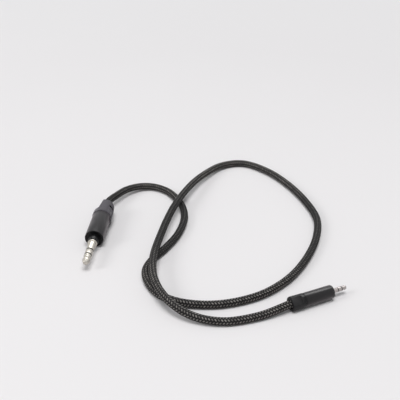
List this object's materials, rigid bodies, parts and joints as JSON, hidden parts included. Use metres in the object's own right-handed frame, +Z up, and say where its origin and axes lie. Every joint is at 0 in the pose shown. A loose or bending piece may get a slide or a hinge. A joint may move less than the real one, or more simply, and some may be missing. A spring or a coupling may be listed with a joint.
{
  "type": "instrument cable",
  "caption": "Black braided cord lying in open loops, with a large stereo phone plug at one end and a small stereo plug at the other.",
  "frame": {"origin": "on the surface that the cable lies on, below the centre of the two plugs' common box", "axes": "+Z up; +X to the side that the small plug's tip points to; +Y away from the large plug's tip"},
  "size_m": [0.2052, 0.2513, 0.0164],
  "materials": {
    "nickel": "polished nickel",
    "black_ring": "gloss",
    "black_metal": "satin black",
    "boot_plastic": "satin",
    "braid": "woven",
    "jacket": "matte",
    "brass": "bright",
    "tinned": "bright",
    "insulator": "natural",
    "clamp_plastic": "satin",
    "red_lead": "gloss",
    "white_lead": "gloss",
    "copper": "bare copper"
  },
  "bodies": {
    "cable": {"jack_tip": "nickel", "jack_tip_washer": "black_ring", "jack_ring": "nickel", "jack_ring_washer": "black_ring", "jack_sleeve": "nickel", "jack_inner_tube": "insulator", "jack_outer_tube": "insulator", "jack_nose": "black_ring", "jack_barrel": "black_metal", "jack_ground_tang": "tinned", "jack_nut": "brass", "jack_ring_spacer": "insulator", "jack_ring_lug": "tinned", "jack_tip_spacer": "insulator", "jack_tip_lug": "tinned", "jack_liner": "insulator", "jack_jacket_end": "jacket", "jack_cord_end": "braid", "jack_tip_lead": "red_lead", "jack_ring_lead": "white_lead", "jack_shield_tail": "copper", "mini_tip": "nickel", "mini_tip_washer": "black_ring", "mini_ring": "nickel", "mini_ring_washer": "black_ring", "mini_sleeve": "nickel", "mini_inner_tube": "insulator", "mini_outer_tube": "insulator", "mini_nose": "black_ring", "mini_barrel": "black_metal", "mini_ground_tang": "tinned", "mini_nut": "brass", "mini_ring_spacer": "insulator", "mini_ring_lug": "tinned", "mini_tip_spacer": "insulator", "mini_tip_lug": "tinned", "mini_liner": "insulator", "mini_jacket_end": "jacket", "mini_cord_end": "braid", "mini_tip_lead": "red_lead", "mini_ring_lead": "white_lead", "mini_shield_tail": "copper", "cord": "braid"},
    "jack_clamp_body": {"jack_clamp": "clamp_plastic"},
    "jack_boot_body": {"jack_boot": "boot_plastic"},
    "mini_clamp_body": {"mini_clamp": "clamp_plastic"},
    "mini_boot_body": {"mini_boot": "boot_plastic"}
  },
  "joints": [
    {"name": "jack_clamp_travel", "type": "slide", "parent": "cable", "child": "jack_clamp_body", "axis": [0.0819, 0.9966, 0], "range_m": [0, 0.003]},
    {"name": "jack_boot_turn", "type": "hinge", "parent": "jack_clamp_body", "child": "jack_boot_body", "pos_m": [-0.09223, 0.04914, 0.0082], "axis": [0.0819, 0.9966, 0], "range_deg": [0, 1080]},
    {"name": "mini_clamp_travel", "type": "slide", "parent": "cable", "child": "mini_clamp_body", "axis": [-0.8999, -0.436, 0], "range_m": [0, 0.00225]},
    {"name": "mini_boot_turn", "type": "hinge", "parent": "mini_clamp_body", "child": "mini_boot_body", "pos_m": [0.06847, -0.06355, 0.00565], "axis": [-0.8999, -0.436, 0], "range_deg": [0, 1080]}
  ],
  "couplings": [
    {"joint": "jack_boot_turn", "follows": "jack_clamp_travel", "rad_per_m": 6283.2},
    {"joint": "mini_boot_turn", "follows": "mini_clamp_travel", "rad_per_m": 8377.6}
  ]
}
